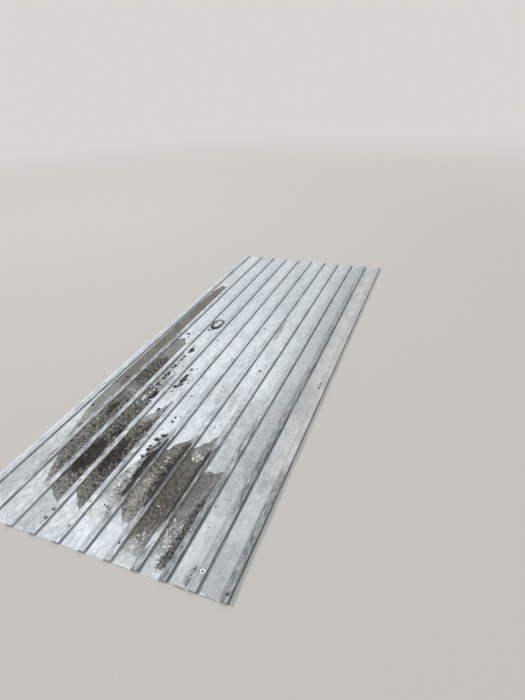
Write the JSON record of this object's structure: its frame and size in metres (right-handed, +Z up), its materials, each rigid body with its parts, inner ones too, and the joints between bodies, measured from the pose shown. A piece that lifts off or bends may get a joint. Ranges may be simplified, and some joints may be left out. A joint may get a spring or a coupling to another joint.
{
  "type": "corrugated metal sheet",
  "caption": "Long thin galvanised roofing sheet, roll formed with narrow raised ribs between wide flat pans, with nail holes near one end.",
  "frame": {"origin": "under the middle of the sheet, on the surface that it lies on", "axes": "+X across the ribs, +Y along the ribs away from the nailed end, +Z up out of the ribbed face"},
  "size_m": [1.2164, 3, 0.0085],
  "materials": {
    "galvanised_steel": "weathered zinc coating with soil and rust stains"
  },
  "bodies": {
    "root": {"ribbed_sheet": "galvanised_steel"}
  },
  "joints": []
}
